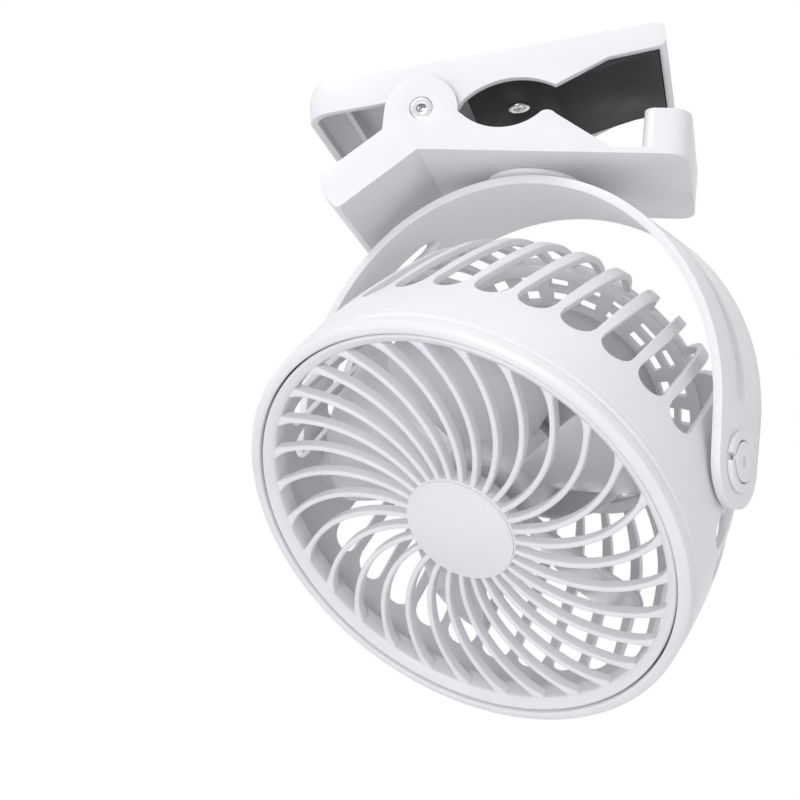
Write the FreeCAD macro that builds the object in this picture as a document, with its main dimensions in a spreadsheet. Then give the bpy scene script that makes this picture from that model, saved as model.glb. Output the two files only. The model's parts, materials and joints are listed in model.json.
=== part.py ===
"""A small clip-on camping fan, hanging from its spring clip.

The origin is the middle of the flat gripping face of the lower jaw, with +Z up.
The clip runs along X with its jaws towards +X, and the fan head hangs below it in a
swivelling yoke. All lengths are in millimetres and all angles in degrees.
"""
import FreeCAD, Part
import math
import os

import Sketcher

from FreeCAD import Placement, Rotation, Vector

doc = FreeCAD.newDocument("ClipFan")
sheet = doc.addObject("Spreadsheet::Sheet", "Sizes")

# A number is a size that is set by itself. A formula is a size that follows from others and a clearance.
SIZES = {
    # the clip's lower half
    "jaw_height": 14.5,
    "clip_half_width": 28.5,
    "clip_wall": 2.6,
    "plate_thickness": 2.6,
    "bend_x": 73.2,
    "handle_drop": 18.9,
    "handle_reach": 22.1,
    "handle_lip": 11.5,
    "lip_half_length": 6.8,
    "lip_corner": 6.0,
    "hinge_x": 73.4,
    "hinge_drop": 1.3,
    "ear_radius": 11.3,
    "recess_radius": 15.5,
    "peak_x": 34.5,
    "peak_drop": 1.4,
    "slope_end": 15.2,
    "pad_length": 9.0,
    "pad_width": 34.0,
    "pad_thickness": 1.8,
    "pad_proud": 0.5,
    # the clip's lever
    "lever_angle": 11.2,
    "lever_gap": 0.6,
    "lever_wall": 2.4,
    "lever_height": 15.5,
    "lever_handle": 37.0,
    "lever_jaw": 69.0,
    "lever_skirt": 10.4,
    "lever_recess_radius": 14.5,
    "lever_lug_radius": 8.6,
    "lever_recess_middle": 26.5,
    "lever_corner": 8.0,
    "jaw_tip_length": 12.0,
    "hinge_pin_radius": 2.0,
    "pin_clearance": 0.05,
    "pin_head_radius": 3.4,
    "pin_head_depth": 1.1,
    "pin_hole_radius": 1.5,
    "pin_hole_depth": 4.0,
    "spring_wire": 1.5,
    "spring_radius": 5.4,
    "spring_length": 12.0,
    "spring_leg": 16.0,
    "pad_screw_radius": 3.4,
    # the swivel between clip and yoke
    "swivel_x": 41.0,
    "swivel_drop": 88.4,
    "swivel_post_radius": 5.0,
    "swivel_clearance": 0.06,
    "collar_radius": 15.0,
    "collar_height": 2.2,
    "flange_radius": 12.0,
    "moving_gap": 0.4,
    "washer_radius": 9.0,
    "washer_thickness": 1.2,
    "swivel_screw_radius": 1.5,
    "swivel_screw_reach": 4.4,
    "swivel_angle": -21.8,
    # the yoke
    "yoke_thickness": 2.6,
    "arm_gap": 0.5,
    "yoke_half_span": "=belly_radius + arm_gap + yoke_thickness",
    "yoke_apex": 85.0,
    "yoke_top_half_width": 17.0,
    "yoke_arm_half_width": 13.0,
    "yoke_slot_width": 6.2,
    "yoke_slot_low": 19.0,
    "yoke_slot_high": 70.0,
    "pivot_ring_radius": 8.6,
    "pivot_ring_height": 1.6,
    "pivot_head_radius": 5.6,
    "pivot_shank_radius": 4.0,
    "pivot_clearance": 0.05,
    "pivot_washer_radius": 8.0,
    "pivot_washer_thickness": 1.0,
    "pivot_root": "=neck_radius - drum_wall",
    "tilt_down": 44.9,
    # the head's drum
    "opening_radius": 62.0,
    "grille_ring_width": 3.7,
    "rim_width": 3.5,
    "belly_swell": 0.3,
    "grille_ring_radius": "=opening_radius + grille_ring_width",
    "rim_radius": "=grille_ring_radius + rim_width",
    "belly_radius": "=rim_radius + belly_swell",
    "belly_depth": 9.0,
    "barrel_bow": 195.0,
    "neck_depth": 54.0,
    "neck_fall": 5.3,
    "neck_radius": "=belly_radius - neck_fall",
    "shoulder_radius": 35.0,
    "shoulder_fall": 17.2,
    "back_radius": "=neck_radius - shoulder_fall",
    "head_depth": "=motor_front_depth + motor_length + cell_gap + 2 * cell_radius + cell_lift"
                  " + cover_thickness",
    "drum_wall": 2.2,
    "pivot_depth": 34.0,
    "vent_count": 34,
    "vents_per_side": 15,
    "vent_front": 18.6,
    "vent_width": 10.0,
    "vent_back_width": 6.8,
    "vent_inset": 1.0,
    "vent_inner_radius": "=back_radius - vent_inset",
    "vent_lean": 8.0,
    # the front grille
    "grille_depth": 6.0,
    "grille_seat_depth": 3.0,
    "spoke_count": 30,
    "spoke_width": 1.7,
    "spoke_depth": 3.2,
    "spoke_curve": 43.4,
    "spoke_phase": -1.8,
    "hub_ring_radius": 17.4,
    "hub_cap_radius": 16.9,
    "hub_cap_height": 2.6,
    # the back and the motor pod
    "pod_radius": 32.0,
    "pod_front_depth": 47.0,
    "pod_wall": 2.0,
    "pod_groove_width": 1.6,
    "cover_thickness": 2.4,
    "cover_gap": 0.15,
    "window_count": 24,
    "motor_radius": 12.0,
    "motor_length": 16.0,
    "motor_clearance": 0.1,
    "motor_front_depth": 37.0,
    "shaft_radius": 1.0,
    "bearing_radius": 3.2,
    "bearing_length": 3.0,
    # the impeller
    "blade_count": 5,
    "blade_gap": 4.0,
    "blade_tip_radius": "=opening_radius - blade_gap",
    "impeller_hub_radius": 16.0,
    "impeller_front_depth": 15.0,
    "impeller_hub_length": 22.0,
    "blade_pitch": 30.0,
    "blade_thickness": 1.6,
    "nut_radius": 4.0,
    # what sits in the pod and the back cover
    "cell_radius": 9.1,
    "cell_length": 49.0,
    "cell_lift": 2.4,
    "cell_gap": 0.5,
    "board_width": 28.0,
    "board_height": 19.0,
    "board_thickness": 1.6,
    "button_radius": 5.0,
    "button_travel": 1.0,
    "button_clearance": 0.2,
    "button_offset": 7.5,
    "control_drop": 15.0,
    "button_flange": 0.8,
    "switch_height": 1.8,
    "socket_width": 9.0,
    "socket_height": 3.4,
    "socket_offset": 6.5,
    "light_radius": 1.4,
    "light_drop": 21.5,
}
for row, name in enumerate(SIZES, 1):
    sheet.set("A%d" % row, name)
    sheet.setAlias("B%d" % row, name)
for row, value in enumerate(SIZES.values(), 1):
    sheet.set("B%d" % row, str(value))
doc.recompute()

nodes = []


def size(name):
    """The number in the sheet's cell of this name."""
    return float(sheet.get(name))


def keep(thing, label, place=Placement()):
    """Give a finished sub-part its label and place, and list it for writing."""
    thing.Label = label
    thing.Placement = place
    nodes.append(thing)
    return thing


def made(label, shape, place=Placement()):
    """A sub-part whose shape no sketch or primitive gives."""
    thing = doc.addObject("Part::Feature", label)
    thing.Shape = shape
    return keep(thing, label, place)


# Sketches and features of the bodies

def new_body(label, place=Placement()):
    body = doc.addObject("PartDesign::Body", label)
    return keep(body, label, place)


def origin_plane(body, role):
    return next(f for f in body.Origin.OriginFeatures if f.Role == role)


def new_sketch(body, role, name, offset=None):
    """An empty sketch on one of the body's own planes, lifted off it by a formula."""
    sketch = body.newObject("Sketcher::SketchObject", name)
    sketch.AttachmentSupport = [(origin_plane(body, role), "")]
    sketch.MapMode = "FlatFace"
    if offset:
        sketch.setExpression("AttachmentOffset.Base.z", offset)
    return sketch


def worked_out(thing, formula):
    """What a formula of the sheet comes to."""
    value = thing.evalExpression(formula)
    return float(getattr(value, "Value", value))


def bowed(start, end, bend):
    """The arc from start to end: a positive bend has its centre on the left of the way."""
    way = end - start
    half = way.Length / 2
    left = Vector(-way.y, way.x, 0).normalize()
    reach = math.sqrt(max(bend * bend - half * half, 0.0))
    centre = (start + end) * 0.5 + left * (reach if bend > 0 else -reach)
    first, last = (start, end) if bend > 0 else (end, start)
    turn = [math.atan2(p.y - centre.y, p.x - centre.x) for p in (first, last)]
    if turn[1] < turn[0]:
        turn[1] += 2 * math.pi
    circle = Part.Circle(centre, Vector(0, 0, 1), abs(bend))
    return Part.ArcOfCircle(circle, turn[0], turn[1])


def outline(sketch, corners):
    """A closed outline through corners, each (across, up) or (across, up, bend to the next)."""
    points = [Vector(worked_out(sketch, c[0]), worked_out(sketch, c[1]), 0) for c in corners]
    bends = [c[2] if len(c) > 2 else None for c in corners]
    ends = []
    for number, bend in enumerate(bends):
        start, end = points[number], points[(number + 1) % len(points)]
        if bend is None:
            piece = sketch.addGeometry(Part.LineSegment(start, end), False)
            ends.append((piece, 1, 2))
            continue
        radius = worked_out(sketch, bend)
        piece = sketch.addGeometry(bowed(start, end, radius), False)
        ends.append((piece, 1, 2) if radius > 0 else (piece, 2, 1))
        if abs(2 * abs(radius) - (end - start).Length) > 1e-6:
            tie = sketch.addConstraint(Sketcher.Constraint("Radius", piece, abs(radius)))
            sketch.setExpression("Constraints[%d]" % tie, "abs(%s)" % bend)
            continue
        level = abs(end.y - start.y) < abs(end.x - start.x)
        kind, formula, place = ("DistanceY", corners[number][1], start.y) if level else (
            "DistanceX", corners[number][0], start.x)
        tie = sketch.addConstraint(Sketcher.Constraint(kind, -1, 1, piece, 3, place))
        sketch.setExpression("Constraints[%d]" % tie, formula)
    for number, (piece, begin, _) in enumerate(ends):
        before = ends[number - 1]
        sketch.addConstraint(Sketcher.Constraint("Coincident", before[0], before[2], piece, begin))
        for kind, formula in zip(("DistanceX", "DistanceY"), corners[number]):
            place = worked_out(sketch, formula)
            tie = sketch.addConstraint(Sketcher.Constraint(kind, -1, 1, piece, begin, place))
            sketch.setExpression("Constraints[%d]" % tie, formula)


def ring(sketch, across, up, radius):
    """A circle with its middle at (across, up)."""
    middle = Vector(worked_out(sketch, across), worked_out(sketch, up), 0)
    wide = worked_out(sketch, radius)
    piece = sketch.addGeometry(Part.Circle(middle, Vector(0, 0, 1), wide), False)
    tie = sketch.addConstraint(Sketcher.Constraint("Radius", piece, wide))
    sketch.setExpression("Constraints[%d]" % tie, radius)
    for kind, formula, place in (("DistanceX", across, middle.x), ("DistanceY", up, middle.y)):
        tie = sketch.addConstraint(Sketcher.Constraint(kind, -1, 1, piece, 3, place))
        sketch.setExpression("Constraints[%d]" % tie, formula)


def turned(body, corners, name="Profile"):
    """A solid of revolution about the body's own Z axis, from a half section in XZ."""
    sketch = new_sketch(body, "XZ_Plane", name)
    outline(sketch, corners)
    feature = body.newObject("PartDesign::Revolution", name + "Turned")
    feature.Profile = sketch
    feature.ReferenceAxis = (sketch, ["V_Axis"])
    feature.Angle = 360
    return feature


def padded(body, sketch, length, both_ways=False, backwards=False):
    feature = body.newObject("PartDesign::Pad", sketch.Name + "Pad")
    feature.Profile = sketch
    feature.setExpression("Length", length)
    feature.Midplane = both_ways
    feature.Reversed = backwards
    return feature


def pocketed(body, sketch, length=None, both_ways=False, backwards=False):
    """Cut a sketch out of the body, and refuse a cut that takes nothing away."""
    doc.recompute()
    for part in body.Group:
        if {"Invalid", "Error"} & set(part.State):
            raise ValueError("%s of %s failed: %s" % (part.Name, body.Label, part.getStatusString()))
    before = body.Shape.Volume
    feature = body.newObject("PartDesign::Pocket", sketch.Name + "Cut")
    feature.Profile = sketch
    if length:
        feature.setExpression("Length", length)
    else:
        feature.Type = 1
    feature.Midplane = both_ways
    feature.Reversed = backwards
    doc.recompute()
    if body.Shape.Volume > before - 1e-6:
        raise ValueError("the cut %s of %s takes nothing away" % (sketch.Name, body.Label))
    return feature


# Shapes made in code

def rod(radius, start, end):
    way = end - start
    return Part.makeCylinder(radius, way.Length, start, way)


def rounded_block(low, high, radius, edges="Z"):
    """A box from corner to corner, with its edges along one axis rounded."""
    block = Part.makeBox(high.x - low.x, high.y - low.y, high.z - low.z, low)
    along = {"X": Vector(1, 0, 0), "Y": Vector(0, 1, 0), "Z": Vector(0, 0, 1)}[edges]
    picked = [e for e in block.Edges if abs(e.tangentAt(0).dot(along)) > 0.99]
    return block.makeFillet(radius, picked)


def section(corners, place=Vector(0, 0, 0)):
    """A flat face in XZ through corners, each (across, up) or (across, up, bend to the next)."""
    points = [Vector(c[0], c[1], 0) for c in corners]
    edges = []
    for number, corner in enumerate(corners):
        start, end = points[number], points[(number + 1) % len(points)]
        if len(corner) > 2:
            edges.append(bowed(start, end, corner[2]).toShape())
        else:
            edges.append(Part.LineSegment(start, end).toShape())
    face = Part.Face(Part.Wire(edges))
    face.rotate(Vector(0, 0, 0), Vector(1, 0, 0), 90)
    face.translate(place)
    return face


def spun(corners):
    """A section turned about the Z axis."""
    return section(corners).revolve(Vector(0, 0, 0), Vector(0, 0, 1), 360)


def swept_across(corners, half_width):
    """A section in XZ made solid to the same width on each side of the middle."""
    return section(corners, Vector(0, half_width, 0)).extrude(Vector(0, -2 * half_width, 0))


def turned_copies(shape, count, turn=None, first=0.0):
    """Copies of a shape round the Z axis."""
    step = turn if turn is not None else 360.0 / count
    copies = []
    for number in range(count):
        copy = shape.copy()
        copy.rotate(Vector(0, 0, 0), Vector(0, 0, 1), first + number * step)
        copies.append(copy)
    return copies


# Places of the moving groups

swivel_top = -size("jaw_height")
hinge = Vector(-size("hinge_x"), 0, -size("hinge_drop"))
pivot = Vector(-size("swivel_x"), 0, swivel_top - size("swivel_drop"))
lever_place = Placement(hinge, Rotation(Vector(0, 1, 0), -size("lever_angle")))
yoke_place = Placement(pivot, Rotation(Vector(0, 0, 1), size("swivel_angle")))
head_place = yoke_place.multiply(Placement(Vector(), Rotation(Vector(1, 0, 0), 90 + size("tilt_down"))))
front = size("pivot_depth")
back = front - size("head_depth")


# The clip's lower half

def clip_base_shell():
    """A channel with two side walls, a flat plate, a bent handle and an upstanding lip."""
    floor = -size("jaw_height")
    half = size("clip_half_width")
    wall = size("clip_wall")
    bend = -size("bend_x")
    end = bend - size("handle_reach")
    low = floor - size("handle_drop")
    lip = size("lip_half_length")
    skin = size("plate_thickness")
    ear = size("ear_radius")
    hinge_at = (-size("hinge_x"), -size("hinge_drop"))
    peak = -size("peak_x")
    ear_right = hinge_at[0] + ear * math.cos(math.radians(5))
    ear_right_up = hinge_at[1] - ear * math.sin(math.radians(5))
    recess = -size("recess_radius") * 1.15
    side = [
        (bend, floor),
        (lip, floor),
        (lip, floor + skin),
        (-size("slope_end"), floor + skin * 0.6),
        (peak + 2.0, -size("peak_drop") - 1.2, 3.4),
        (peak - 2.4, -size("peak_drop") - 0.6, recess),
        (ear_right + 1.5, ear_right_up - 1.0),
        (ear_right, ear_right_up, ear),
        (hinge_at[0] - ear, hinge_at[1]),
        (hinge_at[0] - ear, floor + 6.0),
        (end - 5.4, low + size("handle_lip"), 6.5),
        (end - 3.0, low + 1.6, 3.6),
        (end, low),
    ]
    body = swept_across(side, half)
    roof = size("ear_radius") + 5
    inside = [
        (bend + 1.2, floor + skin),
        (lip + 1, floor + skin),
        (lip + 1, roof),
        (end - 20, roof),
        (end - 20, low + size("handle_lip") - 1.0),
        (end - 3.4, low + size("handle_lip") - 2.0),
        (end + 1.0, low + skin * 1.5),
    ]
    body = body.cut(swept_across(inside, half - wall))
    corner = size("lip_corner")
    block = Part.makeBox(4 * lip, 2 * half, size("jaw_height"), Vector(-3 * lip, -half, floor))
    upright = [e for e in block.Edges if e.Length < size("jaw_height") + 0.01
               and abs(e.tangentAt(0).z) > 0.99 and e.Vertexes[0].X > 0]
    block = block.makeFillet(corner, upright)
    lip_wall = block.common(Part.makeBox(2 * lip, 2 * half, size("jaw_height"), Vector(-lip, -half, floor)))
    back_edge = [e for e in lip_wall.Edges if abs(e.tangentAt(0).z) > 0.99 and e.Vertexes[0].X < 0]
    lip_wall = lip_wall.makeFillet(min(corner, lip) * 0.6, back_edge)
    trim = Part.makeBox(3 * lip, 2 * half + 2, 40, Vector(-lip, -half - 1, floor - 1))
    plate_end = body.common(trim).common(block)
    body = body.cut(trim).fuse([plate_end, lip_wall])
    seat = Part.makeBox(size("pad_length"), size("pad_width"), size("pad_thickness"),
                        Vector(-size("pad_length") / 2, -size("pad_width") / 2, -size("pad_thickness")))
    proud = Part.makeBox(2 * lip + 2, 2 * half + 2, size("pad_proud"),
                         Vector(-lip - 1, -half - 1, -size("pad_proud")))
    middle = Vector(-size("swivel_x"), 0, floor)
    up = Vector(0, 0, 10)
    bore = rod(size("swivel_post_radius") + size("swivel_clearance"), middle - up, middle + up)
    side_way = Vector(0, half + 1, 0)
    hinge_bore = rod(size("hinge_pin_radius"), hinge - side_way, hinge + side_way)
    sink_end = Vector(0, half - size("pin_head_depth"), 0)
    sink = rod(size("pin_head_radius") + 0.2, hinge - side_way, hinge - sink_end)
    far_sink = rod(size("pin_head_radius") + 0.2, hinge + side_way, hinge + sink_end)
    return body.cut([seat, proud, bore, hinge_bore, sink, far_sink]).removeSplitter()


def clip_pieces():
    floor = -size("jaw_height")
    half = size("clip_half_width")
    made("clip_base_shell", clip_base_shell())
    pad = new_body("lower_jaw_pad")
    sketch = new_sketch(pad, "XY_Plane", "PadOutline", "-Sizes.pad_thickness")
    outline(sketch, [("Sizes.pad_length / 2", "-Sizes.pad_width / 2"),
                     ("Sizes.pad_length / 2", "Sizes.pad_width / 2"),
                     ("-Sizes.pad_length / 2", "Sizes.pad_width / 2"),
                     ("-Sizes.pad_length / 2", "-Sizes.pad_width / 2")])
    padded(pad, sketch, "Sizes.pad_thickness")
    inner_end = Vector(0, half - size("pin_head_depth"), 0)
    outer_end = Vector(0, half - 0.2, 0)
    hole_end = Vector(0, half - size("pin_hole_depth"), 0)
    pin = rod(size("hinge_pin_radius"), hinge - inner_end, hinge + inner_end)
    heads = [rod(size("pin_head_radius"), hinge - inner_end, hinge - outer_end),
             rod(size("pin_head_radius"), hinge + inner_end, hinge + outer_end)]
    holes = [rod(size("pin_hole_radius"), hinge - hole_end, hinge - Vector(0, half, 0)),
             rod(size("pin_hole_radius"), hinge + hole_end, hinge + Vector(0, half, 0))]
    made("hinge_pin", pin.fuse(heads).cut(holes))
    coil_end = Vector(0, size("spring_length") / 2, 0)
    wire = size("spring_wire") / 2
    coil = rod(size("spring_radius") + wire, hinge - coil_end, hinge + coil_end)
    coil = coil.cut(rod(size("spring_radius") - wire, hinge - coil_end * 1.2, hinge + coil_end * 1.2))
    leg_y = size("spring_length") / 2 - 1
    leg_end = floor + size("plate_thickness") + wire + 0.1
    leg_start = Vector(hinge.x + size("spring_radius"), leg_y, hinge.z)
    leg = rod(wire, leg_start, Vector(hinge.x + size("spring_leg"), leg_y, leg_end))
    made("clip_spring", coil.fuse(leg))
    axis = Placement(Vector(-size("swivel_x"), 0, floor), Rotation())
    collar = new_body("swivel_collar", axis)
    inner_edge = "Sizes.swivel_post_radius + Sizes.swivel_clearance"
    turned(collar, [(inner_edge, "-Sizes.collar_height"),
                    ("Sizes.collar_radius - 1.2", "-Sizes.collar_height"),
                    ("Sizes.collar_radius", "1.0 - Sizes.collar_height"),
                    ("Sizes.collar_radius", "0"),
                    (inner_edge, "0")])


# The clip's lever

def lever_outline():
    """The lever's side view about the hinge: handle, lug, round recess and jaw."""
    top = size("lever_height")
    handle = -size("lever_handle")
    skirt = size("lever_height") - size("lever_skirt")
    jaw = size("lever_jaw")
    middle = size("lever_recess_middle")
    half_chord = size("lever_recess_radius") - 0.5
    lug = size("lever_lug_radius")
    return [
        (handle, skirt),
        (-9.0, skirt),
        (-lug, 0.0, lug),
        (lug * 0.83, -lug * 0.557),
        (middle - half_chord, 1.6, -24.0),
        (middle + half_chord, 1.4),
        (jaw - size("jaw_tip_length"), 7.2),
        (jaw + 4.0, 7.9),
        (jaw + 5.5, 9.4),
        (jaw + 5.5, top - 2.2, 2.4),
        (jaw + 3.3, top),
        (handle + 8.0, top, 8.6),
        (handle, top - 5.5),
    ]


def rounded_end(inset):
    """A tall block round the whole lever, inset at its sides and handle, with both handle corners round."""
    half = size("clip_half_width") - size("clip_wall") - size("lever_gap") - inset
    end = -size("lever_handle") + inset
    tall = 80
    length = size("lever_handle") + size("lever_jaw") + 30
    block = Part.makeBox(length, 2 * half, tall, Vector(end, -half, -tall / 2))
    corners = [e for e in block.Edges if abs(e.tangentAt(0).z) > 0.99 and e.Vertexes[0].X < end + 1]
    return block.makeFillet(max(size("lever_corner") - inset, 0.5), corners)


def clip_lever_shell():
    """A capped channel that swings between the side walls of the lower half."""
    half = size("clip_half_width") - size("clip_wall") - size("lever_gap")
    wall = size("lever_wall")
    body = swept_across(lever_outline(), half).common(rounded_end(0.0))
    top = size("lever_height") - wall
    handle = -size("lever_handle") + wall
    jaw = size("lever_jaw") + 5.5 - wall
    cavity = [(handle, -20), (jaw, -20), (jaw, top - 1.5), (jaw - 2, top),
              (handle + 6, top), (handle, top - 4.5)]
    body = body.cut(swept_across(cavity, half - wall).common(rounded_end(wall)))
    rib_low = size("lever_height") - size("lever_skirt") + 3.0
    ribs = [Part.makeBox(1.6, 2 * half - 2, top - rib_low + 1, Vector(x, -half + 1, rib_low))
            for x in (-26.0, -15.0)]
    seat_low = top - 4.6
    middle = size("lever_recess_middle")
    post = rod(3.0, Vector(middle, 0, seat_low), Vector(middle, 0, top + 0.5))
    body = body.fuse(ribs + [post])
    spring_room = Vector(0, size("spring_length") / 2 + 3, 0)
    spring_space = rod(size("spring_radius") + 2.2, spring_room * -1, spring_room)
    across = Vector(0, half + 1, 0)
    bore = rod(size("hinge_pin_radius") + size("pin_clearance"), across * -1, across)
    hole = rod(1.3, Vector(middle, 0, seat_low - 1), Vector(middle, 0, top))
    return body.cut([spring_space, bore, hole]).removeSplitter()


def lever_pieces():
    half = size("clip_half_width") - size("clip_wall") - size("lever_gap") - size("lever_wall") - 0.3
    made("clip_lever_shell", clip_lever_shell(), lever_place)
    middle = size("lever_recess_middle")
    chord = size("lever_recess_radius") - 1.2
    top = size("lever_height") - size("lever_wall") - 4.6
    jaw = size("lever_jaw") + 5.5 - size("lever_wall") - 0.3
    pad = [
        (middle - chord, top),
        (middle - chord, 3.0, -22.0),
        (middle + chord, 2.8),
        (jaw - size("jaw_tip_length") + 2, 6.4),
        (jaw, 7.2),
        (jaw, 9.8),
        (jaw - size("jaw_tip_length"), top),
    ]
    shape = swept_across(pad, half)
    low = 7.4
    sink = rod(size("pad_screw_radius") + 0.15, Vector(middle, 0, -5), Vector(middle, 0, low + 1.0))
    hole = rod(1.3, Vector(middle, 0, -5), Vector(middle, 0, 20))
    made("upper_jaw_pad", shape.cut([sink, hole]), lever_place)
    head = rod(size("pad_screw_radius"), Vector(middle, 0, low - 0.4), Vector(middle, 0, low + 1.0))
    shank = rod(1.3, Vector(middle, 0, low), Vector(middle, 0, top + 4.0))
    slots = [Part.makeBox(4.0, 0.8, 1.0, Vector(middle - 2, -0.4, low - 0.9)),
             Part.makeBox(0.8, 4.0, 1.0, Vector(middle - 0.4, -2, low - 0.9))]
    made("pad_screw", head.fuse(shank).cut(slots), lever_place)


# The yoke

def yoke_pieces():
    body = new_body("yoke_band", yoke_place)
    sketch = new_sketch(body, "XZ_Plane", "Arch")
    leg = "Sizes.yoke_apex - Sizes.yoke_half_span"
    low = "-Sizes.yoke_arm_half_width - 1"
    inner = "Sizes.yoke_half_span - Sizes.yoke_thickness"
    outline(sketch, [
        ("Sizes.yoke_half_span", low),
        ("Sizes.yoke_half_span", leg, "Sizes.yoke_half_span"),
        ("-Sizes.yoke_half_span", leg),
        ("-Sizes.yoke_half_span", low),
        ("-(" + inner + ")", low),
        ("-(" + inner + ")", leg, "-(" + inner + ")"),
        (inner, leg),
        (inner, low),
    ])
    padded(body, sketch, "2 * Sizes.yoke_top_half_width", both_ways=True)
    flange = new_sketch(body, "XY_Plane", "Flange", "Sizes.yoke_apex - Sizes.yoke_thickness")
    ring(flange, "0", "0", "Sizes.flange_radius")
    padded(body, flange, "Sizes.swivel_drop - Sizes.collar_height - Sizes.moving_gap - Sizes.yoke_apex"
                         " + Sizes.yoke_thickness")
    post = new_sketch(body, "XY_Plane", "Post", "Sizes.yoke_apex")
    ring(post, "0", "0", "Sizes.swivel_post_radius")
    padded(body, post, "Sizes.swivel_drop + Sizes.plate_thickness + Sizes.moving_gap - Sizes.yoke_apex")
    trim = new_sketch(body, "YZ_Plane", "SideView")
    far = "Sizes.yoke_top_half_width + 5"
    outline(trim, [("-(" + far + ")", "-40"), (far, "-40"), (far, "Sizes.swivel_drop + 20"),
                   ("-(" + far + ")", "Sizes.swivel_drop + 20")])
    arm = "Sizes.yoke_arm_half_width"
    outline(trim, [("-" + arm, "0", arm), (arm, "0"),
                   ("Sizes.yoke_top_half_width", "Sizes.yoke_apex - 12"),
                   ("Sizes.yoke_top_half_width", "Sizes.swivel_drop + 10"),
                   ("-Sizes.yoke_top_half_width", "Sizes.swivel_drop + 10"),
                   ("-Sizes.yoke_top_half_width", "Sizes.yoke_apex - 12")])
    pocketed(body, trim, both_ways=True)
    slot = new_sketch(body, "YZ_Plane", "ArmSlots")
    half = "Sizes.yoke_slot_width / 2"
    outline(slot, [("-" + half, "Sizes.yoke_slot_low", half), (half, "Sizes.yoke_slot_low"),
                   (half, "Sizes.yoke_slot_high", half), ("-" + half, "Sizes.yoke_slot_high")])
    pocketed(body, slot, both_ways=True)
    bores = new_sketch(body, "YZ_Plane", "PivotBores")
    ring(bores, "0", "0", "Sizes.pivot_shank_radius + Sizes.pivot_clearance")
    pocketed(body, bores, both_ways=True)
    screw_hole = new_sketch(body, "XY_Plane", "ScrewHole", "Sizes.swivel_drop - Sizes.swivel_screw_reach")
    ring(screw_hole, "0", "0", "Sizes.swivel_screw_radius")
    pocketed(body, screw_hole, "20", backwards=True)
    for side, name in ((1, "pivot_ring_right"), (-1, "pivot_ring_left")):
        place = yoke_place.multiply(Placement(Vector(), Rotation(Vector(0, 1, 0), 90 * side)))
        cap = new_body(name, place)
        turned(cap, [("Sizes.pivot_head_radius + 0.35", "Sizes.yoke_half_span"),
                     ("Sizes.pivot_ring_radius", "Sizes.yoke_half_span"),
                     ("Sizes.pivot_ring_radius", "Sizes.yoke_half_span + Sizes.pivot_ring_height - 0.6"),
                     ("Sizes.pivot_ring_radius - 0.6", "Sizes.yoke_half_span + Sizes.pivot_ring_height"),
                     ("Sizes.pivot_head_radius + 0.35", "Sizes.yoke_half_span + Sizes.pivot_ring_height")])
    washer = new_body("swivel_washer", yoke_place)
    bottom = "Sizes.swivel_drop + Sizes.plate_thickness + Sizes.moving_gap"
    turned(washer, [("Sizes.swivel_screw_radius", bottom), ("Sizes.washer_radius", bottom),
                    ("Sizes.washer_radius", bottom + " + Sizes.washer_thickness"),
                    ("Sizes.swivel_screw_radius", bottom + " + Sizes.washer_thickness")])
    screw = new_body("swivel_screw", yoke_place)
    top = bottom + " + Sizes.washer_thickness"
    tip = "Sizes.swivel_drop - Sizes.swivel_screw_reach"
    turned(screw, [("0", tip), ("Sizes.swivel_screw_radius", tip),
                   ("Sizes.swivel_screw_radius", top), ("2 * Sizes.swivel_screw_radius", top),
                   ("2 * Sizes.swivel_screw_radius", top + " + 1.2"),
                   ("Sizes.swivel_screw_radius", top + " + 1.8"), ("0", top + " + 1.8")])


# The head

def housing():
    """The drum with its front rim, long vents round the shoulder and two pivot bosses."""
    wall = size("drum_wall")
    seat = size("grille_ring_radius") + size("cover_gap")
    ledge = front - size("grille_seat_depth")
    rim = size("rim_radius")
    belly = (size("belly_radius"), front - size("belly_depth"))
    neck = (size("neck_radius"), front - size("neck_depth"))
    lip = size("back_radius") - 3.0
    barrel = size("barrel_bow")
    profile = [
        (seat, ledge),
        (seat, front + 3.0, -2.0),
        (rim, front + 1.8),
        (belly[0], belly[1], -barrel),
        (neck[0], neck[1], -size("shoulder_radius")),
        (size("back_radius"), back),
        (lip, back),
        (lip, back + wall),
        (size("back_radius") - 0.6, back + wall, size("shoulder_radius") - wall),
        (neck[0] - wall, neck[1] + 0.4, barrel - wall),
        (belly[0] - wall, belly[1]),
        (belly[0] - wall, ledge - 2.0),
        (seat - 1.8, ledge - 2.0),
        (seat - 1.8, ledge),
    ]
    drum = spun(profile)
    half = size("vent_width") / 2
    back_half = size("vent_back_width") / 2
    start = front - size("vent_front") - half
    end = back - 3.0
    vent = section([(-half, start - 30), (-half, start, -half * 1.04), (half, start), (half, start - 30),
                    (back_half, end), (-back_half, end)])
    vent = vent.extrude(Vector(0, -30, 0))
    vent.translate(Vector(0, -size("vent_inner_radius"), 0))
    vent.rotate(Vector(0, 0, start - 20), Vector(0, -1, 0), size("vent_lean"))
    step = 360.0 / size("vent_count")
    per_side = int(size("vents_per_side"))
    spread = step * (per_side - 1) / 2
    vents = [v for middle in (0, 180) for v in turned_copies(vent, per_side, step, middle - spread)]
    root = size("pivot_root")
    bosses = []
    bores = []
    for side in (1, -1):
        outward = Vector(side, 0, 0)
        bosses.append(rod(size("pivot_washer_radius"), outward * root, outward * boss_face()))
        bores.append(rod(size("pivot_shank_radius"), outward * (root - 2), outward * 90))
        spot_face = size("pivot_washer_radius") + size("moving_gap")
        bores.append(rod(spot_face, outward * boss_face(), outward * 90))
    return drum.cut(vents).fuse(bosses).cut(bores).removeSplitter()


def boss_face():
    """How far out the housing's pivot bosses reach, under the washer and the moving gap."""
    arm_inside = size("yoke_half_span") - size("yoke_thickness")
    return arm_inside - size("moving_gap") - size("pivot_washer_thickness")


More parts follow.
